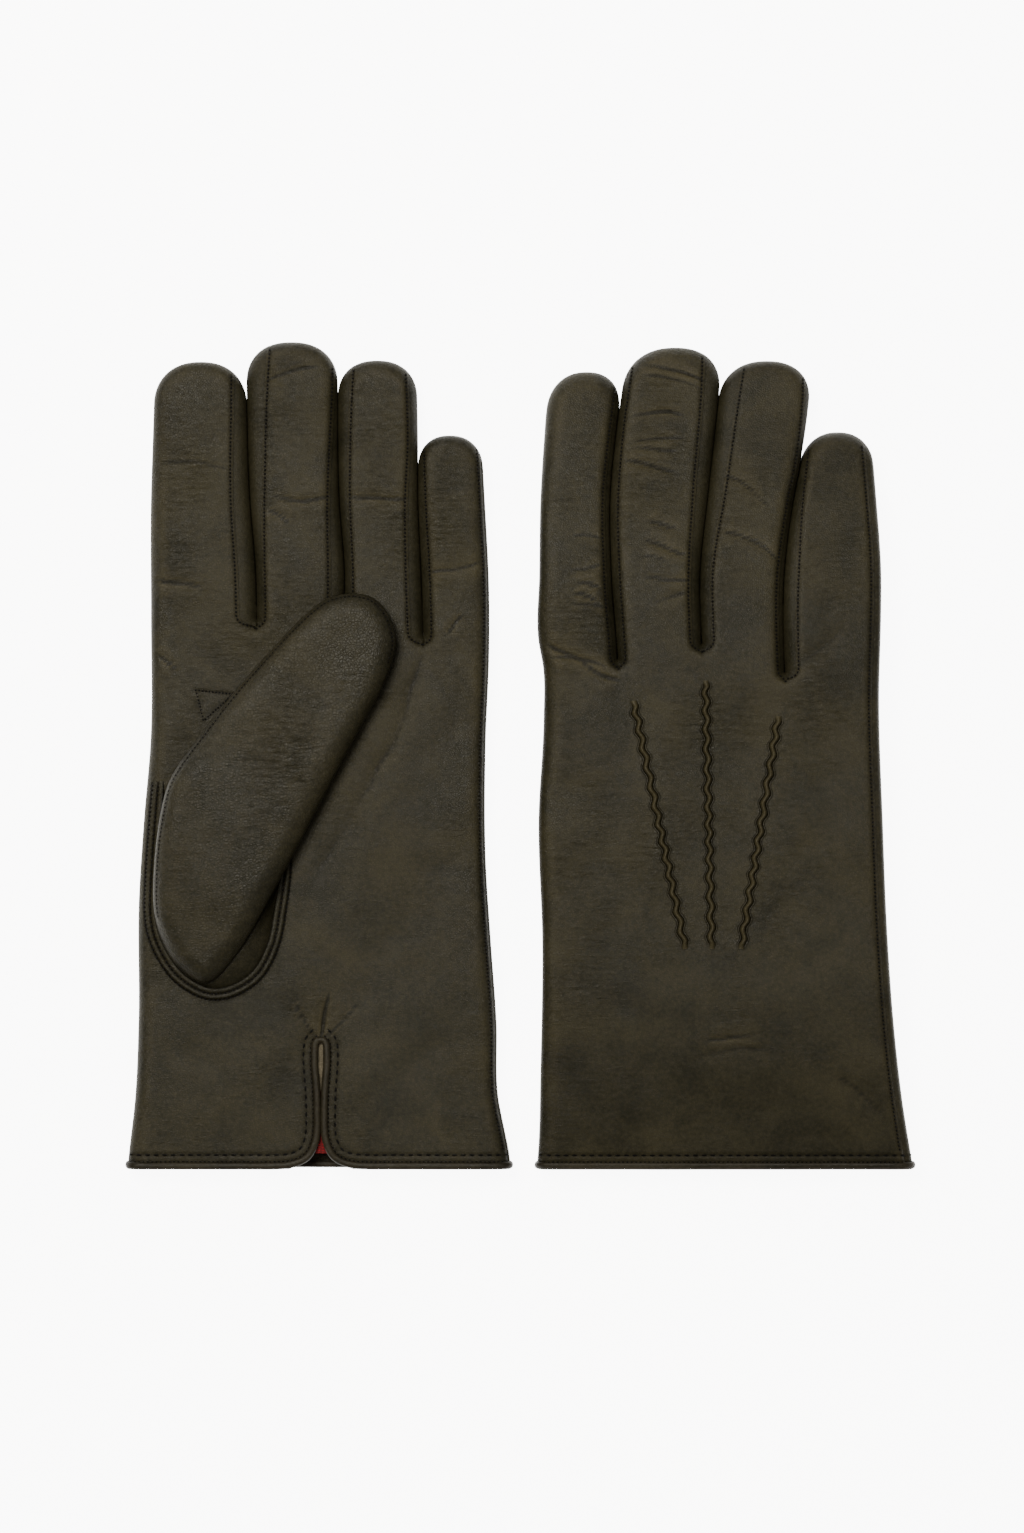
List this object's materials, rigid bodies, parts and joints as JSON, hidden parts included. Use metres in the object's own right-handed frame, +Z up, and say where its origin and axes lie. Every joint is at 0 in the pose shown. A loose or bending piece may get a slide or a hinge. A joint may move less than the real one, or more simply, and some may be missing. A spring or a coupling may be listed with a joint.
{
  "type": "pair of leather dress gloves",
  "caption": "Pair of lined leather dress gloves laid side by side, one palm up and one back up, with folding fingers and thumbs.",
  "frame": {"origin": "middle of the pair's footprint, on the surface that the pair lies on", "axes": "+Y towards the fingertips, +Z up, +X from the left glove to the right glove"},
  "size_m": [0.2335, 0.246, 0.0221],
  "materials": {
    "leather": "soft nappa, satin",
    "thumb_leather": "fine-grained nappa, satin",
    "fourchette_leather": "soft nappa, satin",
    "edge_leather": "rolled nappa, satin",
    "thread": "twisted thread",
    "lining": "fine knitted lining"
  },
  "bodies": {
    "left_hand": {"left_palm_leather": "leather", "left_back_leather": "leather", "left_hand_lining": "lining", "left_cuff_binding": "edge_leather", "left_vent_binding": "edge_leather", "left_cuff_stitching": "thread", "left_side_seam_stitching": "thread", "left_points": "thread", "left_thumb_hole_stitching": "thread", "left_thumb_gusset": "thumb_leather", "left_root_fourchettes": "fourchette_leather"},
    "left_index": {"left_index_leather": "leather", "left_index_fourchettes": "fourchette_leather", "left_index_stitching": "thread", "left_index_lining": "lining"},
    "left_middle": {"left_middle_leather": "leather", "left_middle_fourchettes": "fourchette_leather", "left_middle_stitching": "thread", "left_middle_lining": "lining"},
    "left_ring": {"left_ring_leather": "leather", "left_ring_fourchettes": "fourchette_leather", "left_ring_stitching": "thread", "left_ring_lining": "lining"},
    "left_little": {"left_little_leather": "leather", "left_little_fourchettes": "fourchette_leather", "left_little_stitching": "thread", "left_little_lining": "lining"},
    "left_thumb": {"left_thumb_leather": "thumb_leather", "left_thumb_lining": "lining", "left_thumb_stitching": "thread"},
    "right_hand": {"right_palm_leather": "leather", "right_back_leather": "leather", "right_hand_lining": "lining", "right_cuff_binding": "edge_leather", "right_vent_binding": "edge_leather", "right_cuff_stitching": "thread", "right_side_seam_stitching": "thread", "right_points": "thread", "right_thumb_hole_stitching": "thread", "right_thumb_gusset": "thumb_leather", "right_root_fourchettes": "fourchette_leather"},
    "right_index": {"right_index_leather": "leather", "right_index_fourchettes": "fourchette_leather", "right_index_stitching": "thread", "right_index_lining": "lining"},
    "right_middle": {"right_middle_leather": "leather", "right_middle_fourchettes": "fourchette_leather", "right_middle_stitching": "thread", "right_middle_lining": "lining"},
    "right_ring": {"right_ring_leather": "leather", "right_ring_fourchettes": "fourchette_leather", "right_ring_stitching": "thread", "right_ring_lining": "lining"},
    "right_little": {"right_little_leather": "leather", "right_little_fourchettes": "fourchette_leather", "right_little_stitching": "thread", "right_little_lining": "lining"},
    "right_thumb": {"right_thumb_leather": "thumb_leather", "right_thumb_lining": "lining", "right_thumb_stitching": "thread"}
  },
  "joints": [
    {"name": "left_index_fold", "type": "hinge", "parent": "left_hand", "child": "left_index", "pos_m": [-0.095, 0.054, 0.0055], "axis": [1, 0.0044, 0], "range_deg": [-15, 80]},
    {"name": "left_middle_fold", "type": "hinge", "parent": "left_hand", "child": "left_middle", "pos_m": [-0.06625, 0.054, 0.0055], "axis": [0.9994, 0.0336, 0], "range_deg": [-15, 80]},
    {"name": "left_ring_fold", "type": "hinge", "parent": "left_hand", "child": "left_ring", "pos_m": [-0.0412, 0.054, 0.0055], "axis": [0.9997, 0.0224, 0], "range_deg": [-15, 80]},
    {"name": "left_little_fold", "type": "hinge", "parent": "left_hand", "child": "left_little", "pos_m": [-0.0194, 0.054, 0.0055], "axis": [0.9997, 0.0262, 0], "range_deg": [-15, 80]},
    {"name": "left_thumb_fold", "type": "hinge", "parent": "left_hand", "child": "left_thumb", "pos_m": [-0.10385, -0.043, 0.0164], "axis": [0, -1, 0], "range_deg": [0, 120]},
    {"name": "right_index_fold", "type": "hinge", "parent": "right_hand", "child": "right_index", "pos_m": [0.01645, 0.054, 0.0159], "axis": [-0.9985, 0.0553, 0], "range_deg": [-26.11, 68.89]},
    {"name": "right_middle_fold", "type": "hinge", "parent": "right_hand", "child": "right_middle", "pos_m": [0.04115, 0.054, 0.0159], "axis": [-0.9984, 0.0571, 0], "range_deg": [-24.6, 70.4]},
    {"name": "right_ring_fold", "type": "hinge", "parent": "right_hand", "child": "right_ring", "pos_m": [0.06755, 0.054, 0.0159], "axis": [-0.9978, 0.0666, 0], "range_deg": [-25.42, 69.58]},
    {"name": "right_little_fold", "type": "hinge", "parent": "right_hand", "child": "right_little", "pos_m": [0.0941, 0.054, 0.0159], "axis": [-0.9993, 0.0367, 0], "range_deg": [-31.7, 63.3]},
    {"name": "right_thumb_fold", "type": "hinge", "parent": "right_hand", "child": "right_thumb", "pos_m": [0.01255, -0.043, 0.005], "axis": [0, 1, 0], "range_deg": [0, 120]},
    {"name": "pair_apart", "type": "slide", "parent": "left_hand", "child": "right_hand", "axis": [1, 0, 0], "range_m": [0, 0.15]}
  ]
}
